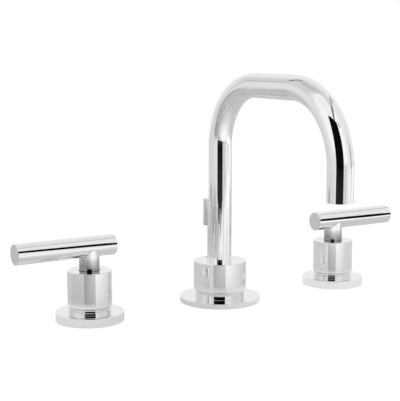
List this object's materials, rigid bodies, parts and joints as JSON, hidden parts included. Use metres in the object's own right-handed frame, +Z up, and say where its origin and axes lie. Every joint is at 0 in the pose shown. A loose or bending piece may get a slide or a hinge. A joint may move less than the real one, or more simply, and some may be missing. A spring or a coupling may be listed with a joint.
{
  "type": "widespread bathroom faucet",
  "caption": "Deck-mounted basin faucet: a bent round tube spout between two lever handles on round hubs and flanges, with a lift rod behind the spout and valves below.",
  "frame": {"origin": "on the deck plane, at the axis of the spout's upright tube", "axes": "+Z up, +X along the row towards the right handle, -Y towards the user, where the spout points"},
  "size_m": [0.3066, 0.1662, 0.2524],
  "materials": {
    "polished_chrome": "bright mirror chrome plate on brass",
    "turned_brass": "machined, dull from handling",
    "bright_steel": "zinc plated",
    "black_rubber": "matt black",
    "white_ceramic": "lapped smooth",
    "white_nylon": "moulded, satin"
  },
  "bodies": {
    "faucet_base": {"left_fixed_disc": "white_ceramic", "left_seat_seal": "black_rubber", "left_cartridge_housing": "turned_brass", "left_housing_o_ring": "black_rubber", "left_valve_body": "turned_brass", "left_escutcheon": "polished_chrome", "left_escutcheon_gasket": "black_rubber", "left_deck_washer": "black_rubber", "left_clamp_washer": "bright_steel", "left_mounting_nut": "turned_brass", "right_fixed_disc": "white_ceramic", "right_seat_seal": "black_rubber", "right_cartridge_housing": "turned_brass", "right_housing_o_ring": "black_rubber", "right_valve_body": "turned_brass", "right_escutcheon": "polished_chrome", "right_escutcheon_gasket": "black_rubber", "right_deck_washer": "black_rubber", "right_clamp_washer": "bright_steel", "right_mounting_nut": "turned_brass", "spout_tube": "polished_chrome", "spout_hub": "polished_chrome", "spout_escutcheon": "polished_chrome", "spout_gasket": "black_rubber", "spout_body": "turned_brass", "upper_tube_o_ring": "black_rubber", "lower_tube_o_ring": "black_rubber", "spout_set_screw": "bright_steel", "aerator_housing": "polished_chrome", "aerator_insert": "white_nylon", "aerator_washer": "black_rubber", "rod_guide": "white_nylon", "spout_deck_washer": "black_rubber", "spout_clamp_washer": "bright_steel", "spout_mounting_nut": "turned_brass", "spout_tee": "turned_brass", "tee_washer": "black_rubber"},
    "left_handle": {"left_lever_bar": "polished_chrome", "left_lever_neck": "polished_chrome", "left_neck_screw": "bright_steel", "left_hub": "polished_chrome", "left_hub_set_screw": "bright_steel", "left_stem_adapter": "white_nylon", "left_cartridge_stem": "turned_brass", "left_stem_o_ring": "black_rubber", "left_rotating_disc": "white_ceramic"},
    "right_handle": {"right_lever_bar": "polished_chrome", "right_lever_neck": "polished_chrome", "right_neck_screw": "bright_steel", "right_hub": "polished_chrome", "right_hub_set_screw": "bright_steel", "right_stem_adapter": "white_nylon", "right_cartridge_stem": "turned_brass", "right_stem_o_ring": "black_rubber", "right_rotating_disc": "white_ceramic"},
    "pop_up_rod": {"lift_rod": "polished_chrome", "lift_knob": "polished_chrome"}
  },
  "joints": [
    {"name": "left_lever_turn", "type": "hinge", "parent": "faucet_base", "child": "left_handle", "pos_m": [-0.1016, 0, 0], "axis": [0, 0, 1], "range_deg": [0, 90]},
    {"name": "right_lever_turn", "type": "hinge", "parent": "faucet_base", "child": "right_handle", "pos_m": [0.1016, 0, 0], "axis": [0, 0, 1], "range_deg": [-90, 0]},
    {"name": "lift_rod_slide", "type": "slide", "parent": "faucet_base", "child": "pop_up_rod", "axis": [0, 0, 1], "range_m": [-0.021, 0]}
  ]
}
